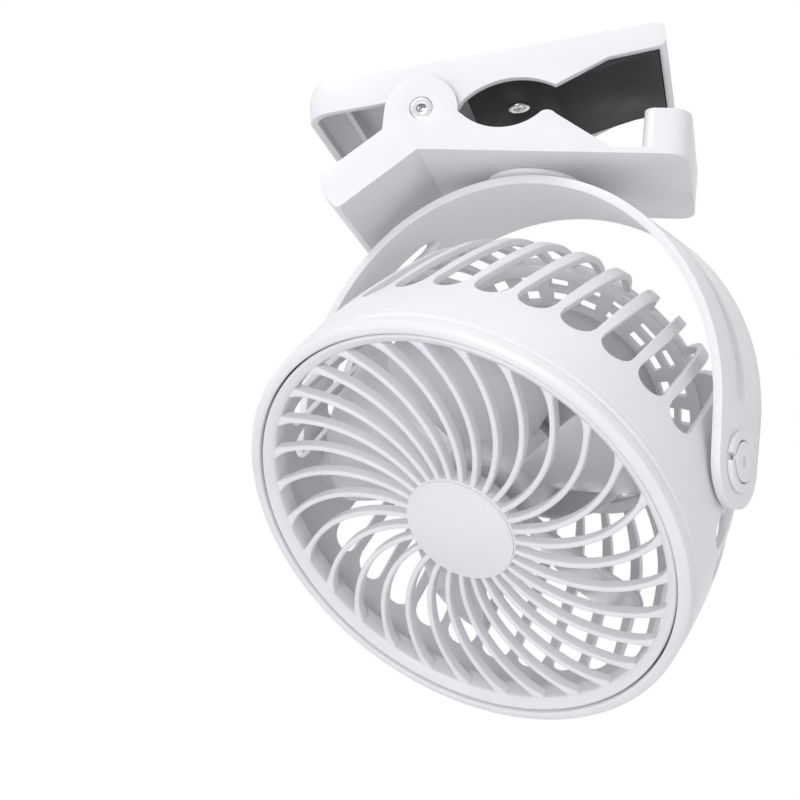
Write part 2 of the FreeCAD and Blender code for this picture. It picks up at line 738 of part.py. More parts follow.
def spoke():
    """One curved spoke, radial at the hub and leaning at the rim."""
    start = size("hub_cap_radius")
    bend = size("spoke_curve")
    reach = size("opening_radius") + 1.2
    a, b = 2 * start * bend, 2 * bend * bend
    k = reach * reach - start * start
    turn = math.atan2(b, a) + math.asin((k - b) / math.hypot(a, b))
    half = size("spoke_width") / 2

    def at(radius, angle):
        return Vector(start + radius * math.sin(angle), bend - radius * math.cos(angle), 0)

    first = -0.05
    middle = turn / 2
    edges = [
        Part.Arc(at(bend + half, first), at(bend + half, middle), at(bend + half, turn)).toShape(),
        Part.makeLine(at(bend + half, turn), at(bend - half, turn)),
        Part.Arc(at(bend - half, turn), at(bend - half, middle), at(bend - half, first)).toShape(),
        Part.makeLine(at(bend - half, first), at(bend + half, first)),
    ]
    shape = Part.Face(Part.Wire(edges)).extrude(Vector(0, 0, size("spoke_depth")))
    shape.translate(Vector(0, 0, front - size("spoke_depth")))
    return shape


def front_grille():
    opening = size("opening_radius")
    outer = size("grille_ring_radius")
    low = front - size("grille_depth")
    ledge = front - size("grille_seat_depth")
    rim = spun([(opening, low), (opening + 1.8, low), (opening + 1.8, ledge), (outer, ledge),
                (outer, front + 2.0), (outer - 0.8, front + 2.4), (opening, front)])
    hub = size("hub_ring_radius")
    centre = spun([(hub - 3.0, low), (hub, low), (hub, front), (0, front), (0, front - 2.0),
                   (hub - 3.0, front - 2.0)])
    spokes = turned_copies(spoke(), int(size("spoke_count")), first=size("spoke_phase"))
    return rim.fuse(spokes + [centre]).removeSplitter()


def blade():
    """One broad blade: three flat sections at rising radius, less pitched towards the tip."""
    rims = []
    for radius, chord, pitch in ((12.0, 20.0, 14), (34.0, 38.0, 4), (64.0, 50.0, -2)):
        angle = math.radians(size("blade_pitch") + pitch)
        along = Vector(0, math.cos(angle), math.sin(angle)) * (chord / 2)
        thick = Vector(0, -math.sin(angle), math.cos(angle)) * (size("blade_thickness") / 2)
        middle = Vector(radius, 0, 0)
        corners = [middle + along + thick, middle - along + thick,
                   middle - along - thick, middle + along - thick]
        rims.append(Part.makePolygon(corners + corners[:1]))
    shape = Part.makeLoft(rims, True, True)
    shape.translate(Vector(0, 0, front - size("impeller_front_depth") - size("impeller_hub_length") / 2))
    return shape


def impeller():
    hub = size("impeller_hub_radius")
    top = front - size("impeller_front_depth")
    low = top - size("impeller_hub_length")
    cup = spun([(size("shaft_radius"), top), (hub - 3, top, -3.0), (hub, top - 3), (hub, low), (hub - 2, low),
                (hub - 2, top - 2.5), (4.0, top - 2.5), (4.0, top - 10), (size("shaft_radius"), top - 10)])
    blades = turned_copies(blade(), int(size("blade_count")), first=20)
    space = Part.makeCylinder(size("blade_tip_radius"), 60, Vector(0, 0, low - 20))
    space = space.cut(Part.makeCylinder(hub - 1.0, 70, Vector(0, 0, low - 25)))
    fronts = Part.makeBox(200, 200, 50, Vector(-100, -100, top + 2.0))
    backs = Part.makeBox(200, 200, 50, Vector(-100, -100, low - 50))
    blades = [b.common(space).cut([fronts, backs]) for b in blades]
    return cup.fuse(blades).removeSplitter()


def motor_pod():
    """A cup that stands on the back cover and holds the motor, the cell and the board."""
    radius = size("pod_radius")
    wall = size("pod_wall")
    top = front - size("pod_front_depth")
    low = back + size("cover_thickness")
    motor = size("motor_radius") + size("motor_clearance")
    motor_low = front - size("motor_front_depth") - size("motor_length")
    groove = size("pod_groove_width")
    profile = [
        (motor, top + 2.0),
        (motor + wall, top + 2.0),
        (motor + wall, top),
        (radius - 4, top, -4.0),
        (radius, top - 4),
        (radius, top - 10),
        (radius - 0.7, top - 10),
        (radius - 0.7, top - 10 - groove),
        (radius, top - 10 - groove),
        (radius, top - 15),
        (radius - 0.7, top - 15),
        (radius - 0.7, top - 15 - groove),
        (radius, top - 15 - groove),
        (radius, low),
        (radius - wall, low),
        (radius - wall, top - 4, 3.0),
        (radius - wall - 3, top - wall),
        (motor + wall, top - wall),
        (motor + wall, motor_low),
        (motor, motor_low),
    ]
    posts = []
    holes = []
    for x, y in screw_places():
        posts.append(Part.makeCylinder(3.2, top - wall - low + 0.5, Vector(x, y, low)))
        holes.append(Part.makeCylinder(1.3, 10, Vector(x, y, low - 1)))
    return spun(profile).fuse(posts).cut(holes).removeSplitter()


def screw_places():
    """Where the three cover screws stand, just inside the pod's wall."""
    radius = size("pod_radius") - size("pod_wall") - 3.0
    return [(radius * math.cos(math.radians(a)), radius * math.sin(math.radians(a))) for a in (90, 210, 330)]


def rear_cover():
    """The flat back with two rings of windows, the button, socket and light openings."""
    rim = size("back_radius") - 3.0 - size("cover_gap")
    thick = size("cover_thickness")
    step_up = size("drum_wall")
    disc = spun([(0, back), (rim, back), (rim, back + step_up), (rim + 2.0, back + step_up),
                 (rim + 2.0, back + step_up + 1.4), (rim - 1.5, back + step_up + 1.4),
                 (rim - 1.5, back + thick), (0, back + thick)])
    cuts = []
    count = int(size("window_count"))
    pod = size("pod_radius")
    first = pod + 1.2
    last = rim - 1.8
    bridge = 1.6
    row = (last - first - bridge) / 2
    for inner, outer in ((first, first + row), (last - row, last)):
        width = 2 * math.pi * inner / count * 0.62
        window = Part.makeBox(outer - inner, width, 12, Vector(inner, -width / 2, back - 2))
        cuts += turned_copies(window, count)
    button = size("button_radius") + size("button_clearance")
    drop = -size("control_drop")
    cuts.append(Part.makeCylinder(button, 12, Vector(-size("button_offset"), drop, back - 2)))
    wide, high = size("socket_width") / 2 + 0.15, size("socket_height") / 2 + 0.15
    cuts.append(rounded_block(Vector(size("socket_offset") - wide, drop - high, back - 2),
                              Vector(size("socket_offset") + wide, drop + high, back + 10), high * 0.98))
    cuts.append(Part.makeCylinder(size("light_radius") + 0.1, 12, Vector(0, -size("light_drop"), back - 2)))
    for x, y in screw_places():
        cuts.append(Part.makeCylinder(1.5, 12, Vector(x, y, back - 2)))
        cuts.append(Part.makeCylinder(2.9, 3.2, Vector(x, y, back - 2)))
    return disc.cut(cuts).removeSplitter()


def head_pieces():
    made("housing", housing(), head_place)
    made("front_grille", front_grille(), head_place)
    cap = new_body("grille_cap", head_place)
    turned(cap, [("0", "Sizes.pivot_depth"), ("Sizes.hub_cap_radius", "Sizes.pivot_depth"),
                 ("Sizes.hub_cap_radius", "Sizes.pivot_depth + 0.6",
                  "(Sizes.hub_cap_radius ^ 2 + Sizes.hub_cap_height ^ 2) / (2 * Sizes.hub_cap_height)"),
                 ("0", "Sizes.pivot_depth + Sizes.hub_cap_height + 0.6")])
    made("impeller", impeller(), head_place)
    top = "Sizes.pivot_depth - Sizes.impeller_front_depth"
    nut = new_body("impeller_nut", head_place)
    turned(nut, [("0", top), ("Sizes.nut_radius", top), ("Sizes.nut_radius", top + " + 2"),
                 ("Sizes.nut_radius - 1", top + " + 3.2"), ("0", top + " + 3.6")])
    shaft = new_body("motor_shaft", head_place)
    shaft_low = "Sizes.pivot_depth - Sizes.motor_front_depth - Sizes.motor_length + 3"
    turned(shaft, [("0", shaft_low), ("Sizes.shaft_radius", shaft_low),
                   ("Sizes.shaft_radius", top), ("0", top)])
    motor = new_body("motor_can", head_place)
    can_top = "Sizes.pivot_depth - Sizes.motor_front_depth"
    can_low = can_top + " - Sizes.motor_length"
    bore = "Sizes.shaft_radius + 0.4"
    turned(motor, [(bore, can_top), ("Sizes.motor_radius - 1.5", can_top),
                   ("Sizes.motor_radius", can_top + " - 1.5"),
                   ("Sizes.motor_radius", can_low + " + 1"), ("Sizes.motor_radius - 1", can_low),
                   ("0", can_low), ("0", can_low + " + 2"), (bore, can_low + " + 2")])
    bearing = new_body("motor_bearing", head_place)
    bearing_bore = "Sizes.shaft_radius + 0.03"
    turned(bearing, [(bearing_bore, can_top), ("Sizes.bearing_radius", can_top),
                     ("Sizes.bearing_radius", can_top + " + Sizes.bearing_length"),
                     (bearing_bore, can_top + " + Sizes.bearing_length")])
    made("motor_pod", motor_pod(), head_place)
    made("rear_cover", rear_cover(), head_place)
    low = back + size("cover_thickness")
    middle = low + size("cell_radius") + size("cell_lift")
    half = size("cell_length") / 2
    cell = rod(size("cell_radius"), Vector(-half, 6, middle), Vector(half, 6, middle))
    nub = rod(2.8, Vector(half, 6, middle), Vector(half + 1.2, 6, middle))
    made("battery_cell", cell.fuse(nub), head_place)
    board = Part.makeBox(size("board_width"), size("board_height"), size("board_thickness"),
                         Vector(-size("board_width") / 2, -size("board_height") - 5.0, board_back()))
    made("circuit_board", board, head_place)
    drop = -size("control_drop")
    switch_low = board_back() - size("switch_height")
    switch = Part.makeBox(4.5, 4.5, size("switch_height"),
                          Vector(-size("button_offset") - 2.25, drop - 2.25, switch_low))
    made("tact_switch", switch, head_place)
    wide, high = size("socket_width"), size("socket_height")
    socket = size("socket_offset")
    outer = rounded_block(Vector(socket - wide / 2, drop - high / 2, back + 0.3),
                          Vector(socket + wide / 2, drop + high / 2, board_back()), high * 0.49)
    skin = 0.35
    inner_end = Vector(socket + wide / 2 - skin, drop + high / 2 - skin, board_back() - 1.2)
    inner_start = Vector(socket - wide / 2 + skin, drop - high / 2 + skin, back)
    inner = rounded_block(inner_start, inner_end, high * 0.38)
    tongue = Part.makeBox(wide - 2.6, 2 * skin, 5.0,
                          Vector(socket - wide / 2 + 1.3, drop - skin, board_back() - 6.0))
    made("usb_socket", outer.cut(inner).fuse(tongue), head_place)
    light = Part.makeCylinder(size("light_radius"), board_back() - back, Vector(0, -size("light_drop"), back))
    made("charge_light", light, head_place)
    middle = Vector(-size("button_offset"), drop, 0)
    proud = Vector(0, 0, back - 0.8)
    stem = Part.makeCylinder(size("button_radius"), size("cover_thickness") + 1.4, middle + proud)
    dish = Part.makeSphere(24, middle + proud - Vector(0, 0, 23.5))
    flange = Part.makeCylinder(size("button_radius") + 1.0, size("button_flange"),
                               middle + Vector(0, 0, low + size("moving_gap")))
    made("power_button", stem.cut(dish).fuse(flange), head_place)
    screws = []
    for x, y in screw_places():
        head = Part.makeCylinder(2.7, 1.1, Vector(x, y, back + 0.1))
        shank = Part.makeCylinder(1.3, 9, Vector(x, y, back + 0.1))
        drive = Part.makeBox(3.2, 0.7, 0.8, Vector(x - 1.6, y - 0.35, back))
        screws.append(head.fuse(shank).cut(drive))
    made("cover_screws", Part.makeCompound(screws), head_place)
    pivots = []
    washers = []
    for side in (1, -1):
        outside = size("yoke_half_span") + 0.3
        root = Vector(side * size("pivot_root"), 0, 0)
        neck = Vector(side * outside, 0, 0)
        outward = Vector(side, 0, 0)
        shank = rod(size("pivot_shank_radius"), root, neck)
        head = rod(size("pivot_head_radius"), neck, neck + outward * 1.6)
        eye = rod(1.3, neck + outward * 0.4, neck + outward * 3)
        pivots.append(shank.fuse(head).cut(eye))
        face = Vector(side * boss_face(), 0, 0)
        washer = rod(size("pivot_washer_radius"), face, face + outward * size("pivot_washer_thickness"))
        washers.append(washer.cut(rod(size("pivot_shank_radius"), root, neck)))
    made("pivot_screws", Part.makeCompound(pivots), head_place)
    made("friction_washers", Part.makeCompound(washers), head_place)


def board_back():
    """The height of the board's back face in the head, behind the button and its switch."""
    button_room = size("moving_gap") + size("button_flange") + size("button_travel")
    return back + size("cover_thickness") + button_room + size("moving_gap") + size("switch_height")


clip_pieces()
lever_pieces()
yoke_pieces()
head_pieces()
doc.recompute()

for thing in doc.Objects:
    if {"Invalid", "Error"} & set(thing.State):
        raise ValueError("%s failed: %s" % (thing.Label, thing.State))
for thing in nodes:
    if thing.Shape.isNull() or not thing.Shape.isValid():
        raise ValueError("%s has no valid shape" % thing.Label)

os.makedirs("parts", exist_ok=True)
for thing in nodes:
    thing.Shape.exportStep("parts/%s.step" % thing.Label)
    box = thing.Shape.BoundBox
    print("%-18s %d solids %9.1f mm3  x %.1f..%.1f y %.1f..%.1f z %.1f..%.1f" % (
        thing.Label, len(thing.Shape.Solids), thing.Shape.Volume,
        box.XMin, box.XMax, box.YMin, box.YMax, box.ZMin, box.ZMax))
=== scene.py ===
"""Pictures of the small clip-on fan: finer shells, grille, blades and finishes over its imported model."""
import json
from math import asin, atan2, cos, hypot, pi, radians, sin, sqrt, tan

import bmesh
import bpy
from mathutils import Matrix, Vector


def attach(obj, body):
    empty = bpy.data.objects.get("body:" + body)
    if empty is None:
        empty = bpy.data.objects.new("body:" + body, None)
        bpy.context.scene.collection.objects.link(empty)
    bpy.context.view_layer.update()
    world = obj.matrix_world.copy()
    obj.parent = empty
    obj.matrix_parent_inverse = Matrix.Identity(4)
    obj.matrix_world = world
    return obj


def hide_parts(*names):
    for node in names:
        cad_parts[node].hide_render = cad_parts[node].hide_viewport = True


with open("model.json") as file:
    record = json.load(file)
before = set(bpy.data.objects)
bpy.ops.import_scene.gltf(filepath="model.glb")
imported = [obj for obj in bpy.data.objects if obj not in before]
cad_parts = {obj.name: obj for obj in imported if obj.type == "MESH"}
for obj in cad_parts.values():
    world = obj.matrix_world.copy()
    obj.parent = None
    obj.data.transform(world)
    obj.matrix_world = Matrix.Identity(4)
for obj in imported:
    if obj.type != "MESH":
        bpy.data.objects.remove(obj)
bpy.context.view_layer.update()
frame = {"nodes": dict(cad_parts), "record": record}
scene = bpy.context.scene

# Places of the moving groups. The modelling is in millimetres, and each place turns them into metres.

MILLIMETRES = Matrix.Scale(0.001, 4)
HINGE = Vector((-73.4, 0.0, -1.3))
PIVOT = Vector((-41.0, 0.0, -102.9))
SWIVEL_ANGLE = radians(-21.8)
TILT_DOWN = radians(44.9)
HINGE_PLACE = MILLIMETRES @ Matrix.Translation(HINGE)
YOKE_PLACE = MILLIMETRES @ Matrix.Translation(PIVOT) @ Matrix.Rotation(SWIVEL_ANGLE, 4, "Z")
HEAD_PLACE = YOKE_PLACE @ Matrix.Rotation(radians(90) + TILT_DOWN, 4, "X")

# Sizes of the head, in millimetres along its own axis, whose front opening is at FRONT.

FRONT = 34.0
BACK = -42.5
OPENING = 62.0
GRILLE_OUTSIDE = 65.3
GRILLE_LOW = 28.0
LEDGE = 31.0
SEAT = 65.85
RIM = (69.2, 35.8)
BELLY = (69.5, 25.0)
NECK = (64.2, -20.0)
BACK_EDGE = (47.0, BACK)
BARREL_BOW = 195.0
SHOULDER_BOW = 35.0
WALL = 2.2
VENT_PITCHES = 34
VENTS_PER_SIDE = 15
VENT_HALF_WIDTH = 5.0
VENT_BACK_HALF_WIDTH = 3.4
VENT_TIP = 15.4
VENT_LEAN = radians(8.0)
SPOKES = 30
SPOKE_WIDTH = 1.7
SPOKE_DEPTH = 3.2
SPOKE_BOW = 43.4
SPOKE_PHASE = radians(-1.8)
HUB = 16.9
BACK_OPENING = 44.0

# Sizes of the pivot's bosses, rings and screws. Their heights are measured out from the head's middle
# along the tilt axis.

BOSS_RADIUS = 8.0
BOSS_INSIDE = 62.0
BOSS_OUTSIDE = 68.6
PIVOT_FACE = 72.6
PIVOT_RING_OUTSIDE = 74.2
PIVOT_RING_RADII = (5.95, 8.6)
PIVOT_RING_ARC = radians(166)
PIVOT_RING_TURN = radians(97)
SCREW_SHANK = 4.0
SCREW_HEAD = 5.6
SCREW_HEAD_SEAT = 72.9
SCREW_HEAD_TOP = 74.5

# Sizes of the impeller. Each blade runs out from BLADE_ROOT by BLADE_REACH, and its angles are in degrees.

BLADES = 5
BLADE_ROOT = 14.0
BLADE_REACH = 43.5
BLADE_HEIGHT = 8.0
BLADE_HALF_CHORD = 10.5
BLADE_WIDENING = 15.0
BLADE_ROUND_FROM = 0.74
BLADE_PITCH = 38.0
BLADE_UNTWIST = 9.0
BLADE_SWEEP = 0.22
BLADE_BOW = 1.8
BLADE_THICKNESS = 1.4
IMPELLER_HUB = 16.0

# The stage, in metres.

MIDDLE = Vector((-0.04, 0.0, -0.08))
FLOOR_HEIGHT = -0.30
FLOOR_WIDTH = 12.0


# Materials

def add_node(tree, kind, settings=None, **values):
    """A new node of a tree, with its settings and the values of its sockets."""
    made = tree.nodes.new(kind)
    for name, value in (settings or {}).items():
        setattr(made, name, value)
    for name, value in values.items():
        made.inputs[name.replace("_", " ")].default_value = value
    return made


def new_group(name, inputs, outputs):
    """A shader node group with named number or colour sockets, and its two end nodes."""
    group = bpy.data.node_groups.new(name, "ShaderNodeTree")
    for label, kind, value in inputs:
        socket = group.interface.new_socket(name=label, in_out="INPUT", socket_type="NodeSocket" + kind)
        socket.default_value = value
    for label, kind in outputs:
        group.interface.new_socket(name=label, in_out="OUTPUT", socket_type="NodeSocket" + kind)
    return group, group.nodes.new("NodeGroupInput"), group.nodes.new("NodeGroupOutput")


def moulded_skin_group():
    """The fine spark grain of a mould, with broad glossier and duller patches from handling."""
    group, given, result = new_group(
        "Moulded skin",
        [("Grain Scale", "Float", 2600.0), ("Patch Scale", "Float", 28.0),
         ("Smooth Roughness", "Float", 0.3), ("Dull Roughness", "Float", 0.45)],
        [("Height", "Float"), ("Roughness", "Float"), ("Patches", "Float")])
    link = group.links.new
    place = add_node(group, "ShaderNodeTexCoord")
    grain = add_node(group, "ShaderNodeTexNoise", Detail=2.0, Roughness=0.6)
    patches = add_node(group, "ShaderNodeTexNoise", Detail=4.0, Roughness=0.55)
    link(place.outputs["Object"], grain.inputs["Vector"])
    link(place.outputs["Object"], patches.inputs["Vector"])
    link(given.outputs["Grain Scale"], grain.inputs["Scale"])
    link(given.outputs["Patch Scale"], patches.inputs["Scale"])
    spread = add_node(group, "ShaderNodeMapRange", From_Min=0.35, From_Max=0.65)
    link(patches.outputs["Fac"], spread.inputs["Value"])
    link(given.outputs["Smooth Roughness"], spread.inputs["To Min"])
    link(given.outputs["Dull Roughness"], spread.inputs["To Max"])
    link(grain.outputs["Fac"], result.inputs["Height"])
    link(spread.outputs["Result"], result.inputs["Roughness"])
    link(patches.outputs["Fac"], result.inputs["Patches"])
    return group


def colour_drift_group():
    """A colour that drifts softly towards a second one, with a sprinkle of dust specks."""
    group, given, result = new_group(
        "Colour drift",
        [("Color", "Color", (0.8, 0.8, 0.8, 1.0)),
         ("Drift Color", "Color", (0.7, 0.7, 0.72, 1.0)),
         ("Dust Color", "Color", (0.5, 0.48, 0.45, 1.0)),
         ("Patches", "Float", 0.5), ("Dust", "Float", 0.1)],
        [("Color", "Color")])
    link = group.links.new
    place = add_node(group, "ShaderNodeTexCoord")
    specks = add_node(group, "ShaderNodeTexVoronoi", Scale=420.0)
    link(place.outputs["Object"], specks.inputs["Vector"])
    small = add_node(group, "ShaderNodeMapRange", From_Min=0.05, From_Max=0.12, To_Min=1.0, To_Max=0.0)
    link(specks.outputs["Distance"], small.inputs["Value"])
    amount = add_node(group, "ShaderNodeMath", {"operation": "MULTIPLY"})
    link(small.outputs["Result"], amount.inputs[0])
    link(given.outputs["Dust"], amount.inputs[1])
    drift = add_node(group, "ShaderNodeMapRange", From_Min=0.4, From_Max=0.75)
    link(given.outputs["Patches"], drift.inputs["Value"])
    base = add_node(group, "ShaderNodeMix", {"data_type": "RGBA"})
    link(drift.outputs["Result"], base.inputs["Factor"])
    link(given.outputs["Color"], base.inputs[6])
    link(given.outputs["Drift Color"], base.inputs[7])
    dusty = add_node(group, "ShaderNodeMix", {"data_type": "RGBA"})
    link(amount.outputs["Value"], dusty.inputs["Factor"])
    link(base.outputs[2], dusty.inputs[6])
    link(given.outputs["Dust Color"], dusty.inputs[7])
    link(dusty.outputs[2], result.inputs["Color"])
    return group


def drawn_marks_group():
    """Fine lines left by drawing or turning metal, stretched along one way."""
    group, given, result = new_group(
        "Drawn marks",
        [("Line Scale", "Float", 900.0),
         ("Low Roughness", "Float", 0.18), ("High Roughness", "Float", 0.38)],
        [("Height", "Float"), ("Roughness", "Float"), ("Patches", "Float")])
    link = group.links.new
    place = add_node(group, "ShaderNodeTexCoord")
    stretch = add_node(group, "ShaderNodeMapping", Scale=(1.0, 0.06, 1.0))
    lines = add_node(group, "ShaderNodeTexNoise", Detail=3.0)
    link(place.outputs["Object"], stretch.inputs["Vector"])
    link(stretch.outputs["Vector"], lines.inputs["Vector"])
    link(given.outputs["Line Scale"], lines.inputs["Scale"])
    spread = add_node(group, "ShaderNodeMapRange", From_Min=0.3, From_Max=0.7)
    link(lines.outputs["Fac"], spread.inputs["Value"])
    link(given.outputs["Low Roughness"], spread.inputs["To Min"])
    link(given.outputs["High Roughness"], spread.inputs["To Max"])
    link(lines.outputs["Fac"], result.inputs["Height"])
    link(spread.outputs["Result"], result.inputs["Roughness"])
    link(lines.outputs["Fac"], result.inputs["Patches"])
    return group


MOULDED_SKIN = moulded_skin_group()
COLOUR_DRIFT = colour_drift_group()
DRAWN_MARKS = drawn_marks_group()


def new_material(name, surface, color, drift, bump, dust=0.06, **surface_values):
    """A material from a surface group, a drifting colour and the depth of its relief in metres."""
    material = bpy.data.materials.new(name)
    material.use_nodes = True
    tree = material.node_tree
    shader = tree.nodes["Principled BSDF"]
    skin = add_node(tree, "ShaderNodeGroup", {"node_tree": surface}, **surface_values)
    tint = add_node(tree, "ShaderNodeGroup", {"node_tree": COLOUR_DRIFT}, Color=(*color, 1.0),
                    Drift_Color=(*drift, 1.0), Dust=dust)
    relief = add_node(tree, "ShaderNodeBump", Strength=0.6, Distance=bump)
    tree.links.new(skin.outputs["Patches"], tint.inputs["Patches"])
    tree.links.new(tint.outputs["Color"], shader.inputs["Base Color"])
    tree.links.new(skin.outputs["Roughness"], shader.inputs["Roughness"])
    tree.links.new(skin.outputs["Height"], relief.inputs["Height"])
    tree.links.new(relief.outputs["Normal"], shader.inputs["Normal"])
    return material


def plastic(name, color, drift, smooth=0.3, dull=0.42, bump=0.00002, grain=2600.0):
    """A moulded plastic or rubber, whose roughness wanders between smooth and dull."""
    return new_material(name, MOULDED_SKIN, color, drift, bump, Grain_Scale=grain,
                        Smooth_Roughness=smooth, Dull_Roughness=dull)


def metal(name, color, drift, low=0.18, high=0.38, lines=900.0):
    """A drawn or turned metal, whose roughness wanders between low and high."""
    material = new_material(name, DRAWN_MARKS, color, drift, 0.00002, dust=0.03, Line_Scale=lines,
                            Low_Roughness=low, High_Roughness=high)
    material.node_tree.nodes["Principled BSDF"].inputs["Metallic"].default_value = 1.0
    return material


FINISHES = {
    "shell_plastic": plastic("White shell plastic", (0.80, 0.80, 0.81), (0.76, 0.76, 0.785)),
    "clip_plastic": plastic("White clip plastic", (0.79, 0.79, 0.805), (0.745, 0.745, 0.775), 0.34, 0.48),
    "impeller_plastic": plastic(
        "Pale grey blade plastic", (0.68, 0.68, 0.70), (0.63, 0.63, 0.65), 0.15, 0.25),
    "pod_plastic": plastic("Grey pod plastic", (0.62, 0.62, 0.645), (0.56, 0.56, 0.59), 0.32, 0.45),
    "pad_rubber": plastic(
        "Dark jaw rubber", (0.022, 0.022, 0.024), (0.035, 0.035, 0.038), 0.6, 0.85, 0.00008, 1500.0),
    "plated_steel": metal("Plated steel", (0.68, 0.69, 0.70), (0.60, 0.61, 0.63)),
    "spring_steel": metal("Spring wire", (0.42, 0.42, 0.43), (0.33, 0.33, 0.35), 0.25, 0.45, 1600.0),
    "motor_steel": metal("Zinc-coated can", (0.55, 0.55, 0.56), (0.46, 0.46, 0.48), 0.3, 0.5),
    "bearing_bronze": metal("Sintered bronze", (0.62, 0.42, 0.20), (0.50, 0.33, 0.15), 0.35, 0.55),
    "washer_nylon": plastic("Grey nylon", (0.24, 0.24, 0.25), (0.19, 0.19, 0.20), 0.45, 0.6),
    "cell_wrap": plastic("Cell wrap", (0.05, 0.17, 0.33), (0.04, 0.13, 0.27), 0.22, 0.34),
    "board_laminate": plastic("Circuit board", (0.03, 0.16, 0.07), (0.02, 0.12, 0.05), 0.3, 0.5),
    "switch_black": plastic("Switch plastic", (0.02, 0.02, 0.02), (0.03, 0.03, 0.03), 0.4, 0.55),
    "light_lens": plastic("Frosted light pipe", (0.72, 0.75, 0.77), (0.65, 0.68, 0.70), 0.35, 0.5),
}
SLOT_OF = {entry["node"]: entry["material_slot"] for entry in frame["record"]["subparts"]}
BODIES = frame["record"]["behaviour"]["bodies"]
BODY_OF = {node: body for body, nodes in BODIES.items() for node in nodes}
for node_name, thing in frame["nodes"].items():
    thing.data.materials.clear()
    thing.data.materials.append(FINISHES[SLOT_OF[node_name]])


# Mesh helpers

def arc(start, end, bow, count):
    """Points from start to end on a circle of radius bow, which bulges away from the axis."""
    first, last = Vector(start), Vector(end)
    way = last - first
    across = Vector((way.y, -way.x)).normalized()
    centre = (first + last) / 2 + across * sqrt(bow * bow - way.length_squared / 4)
    if centre.x > first.x:
        centre = (first + last) - centre
    angles = [atan2(p.y - centre.y, p.x - centre.x) for p in (first, last)]
    turn = angles[1] - angles[0]
    along_arc = [angles[0] + turn * n / count for n in range(count + 1)]
    return [(centre.x + bow * cos(angle), centre.y + bow * sin(angle)) for angle in along_arc]


def everything(bm):
    """All the corners, edges and faces of a mesh."""
    return bm.verts[:] + bm.edges[:] + bm.faces[:]


def turned_about(bm, axis, angle):
    """Turn a whole mesh about an axis through the origin."""
    bmesh.ops.rotate(bm, verts=bm.verts[:], cent=(0, 0, 0), matrix=Matrix.Rotation(angle, 3, axis))
    return bm


def turned_ring(section, rounding=0.3, steps=128, angle=2 * pi):
    """A solid turned about Z from a closed section of (radius, height) corners."""
    bm = bmesh.new()
    corners = [bm.verts.new((radius, 0.0, height)) for radius, height in section]
    bm.faces.new(corners)
    if rounding:
        off_axis = [v for v in corners if v.co.x > 0.01]
        bmesh.ops.bevel(bm, geom=off_axis, offset=rounding, offset_type="OFFSET", segments=3,
                        profile=0.5, affect="VERTICES", clamp_overlap=True, material=-1)
    whole = angle > 2 * pi - 0.001
    if whole:
        bmesh.ops.delete(bm, geom=bm.faces[:], context="FACES_ONLY")
    bmesh.ops.spin(bm, geom=everything(bm), cent=(0, 0, 0), axis=(0, 0, 1), angle=angle, steps=steps,
                   use_merge=whole)
    bmesh.ops.remove_doubles(bm, verts=bm.verts[:], dist=0.0005)
    loose = [e for e in bm.edges if not e.link_faces]
    bmesh.ops.delete(bm, geom=loose, context="EDGES")
    bmesh.ops.recalc_face_normals(bm, faces=bm.faces[:])
    return bm


def joined(first, *others):
    """Put the faces of other meshes into the first."""
    for other in others:
        spare = bpy.data.meshes.new("spare")
        other.to_mesh(spare)
        other.free()
        first.from_mesh(spare)
        bpy.data.meshes.remove(spare)
    return first


def round_the_axis(bm, count):
    """Repeat everything in the mesh round Z."""
    bmesh.ops.spin(bm, geom=everything(bm), cent=(0, 0, 0), axis=(0, 0, 1),
                   angle=2 * pi * (count - 1) / count, steps=count - 1, use_duplicate=True)


def placed(bm, name, place, body, slot, stands_for=(), smooth_below=38.0):
    """Finish a mesh as a named piece that rides on a body and takes its finish from a slot."""
    bmesh.ops.transform(bm, matrix=place, verts=bm.verts[:])
    for face in bm.faces:
        face.smooth = True
    for edge in bm.edges:
        edge.smooth = edge.calc_face_angle(pi) < radians(smooth_below)
    mesh = bpy.data.meshes.new(name)
    bm.to_mesh(mesh)
    bm.free()
    piece = bpy.data.objects.new(name, mesh)
    scene.collection.objects.link(piece)
    mesh.materials.append(FINISHES[slot])
    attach(piece, body)
    if stands_for:
        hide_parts(*stands_for)
    return piece


def softened(node, width, flat_within=0.6, sharp_above=28.0):
    """A copy of a CAD node with its triangles merged and its sharp edges rounded by width."""
    bm = bmesh.new()
    bm.from_mesh(frame["nodes"][node].data)
    bmesh.ops.scale(bm, vec=(1000, 1000, 1000), verts=bm.verts[:])
    bmesh.ops.remove_doubles(bm, verts=bm.verts[:], dist=0.002)
    bmesh.ops.dissolve_limit(bm, angle_limit=radians(flat_within), verts=bm.verts[:], edges=bm.edges[:])
    sharp = [e for e in bm.edges if e.is_manifold and e.calc_face_angle(0) > radians(sharp_above)]
    bmesh.ops.bevel(bm, geom=sharp, offset=width, offset_type="OFFSET", segments=2, profile=0.5,
                    affect="EDGES", clamp_overlap=True, material=-1)
    bmesh.ops.triangulate(bm, faces=[f for f in bm.faces if len(f.verts) > 4])
    return placed(bm, node + "_soft_edged", MILLIMETRES, BODY_OF[node], SLOT_OF[node], (node,))


# The drum

def outer_wall():
    """The drum's outer line from its front to its back edge, as (radius, height)."""
    return arc(BELLY, NECK, BARREL_BOW, 12)[1:] + arc(NECK, BACK_EDGE, SHOULDER_BOW, 10)[1:]


def along(line, height):
    """The radius of a line at a height."""
    for (r_low, z_low), (r_high, z_high) in zip(line, line[1:]):
        if z_high <= height <= z_low:
            return r_low + (r_high - r_low) * (height - z_low) / (z_high - z_low)
    return line[0][0] if height > line[0][1] else line[-1][0]


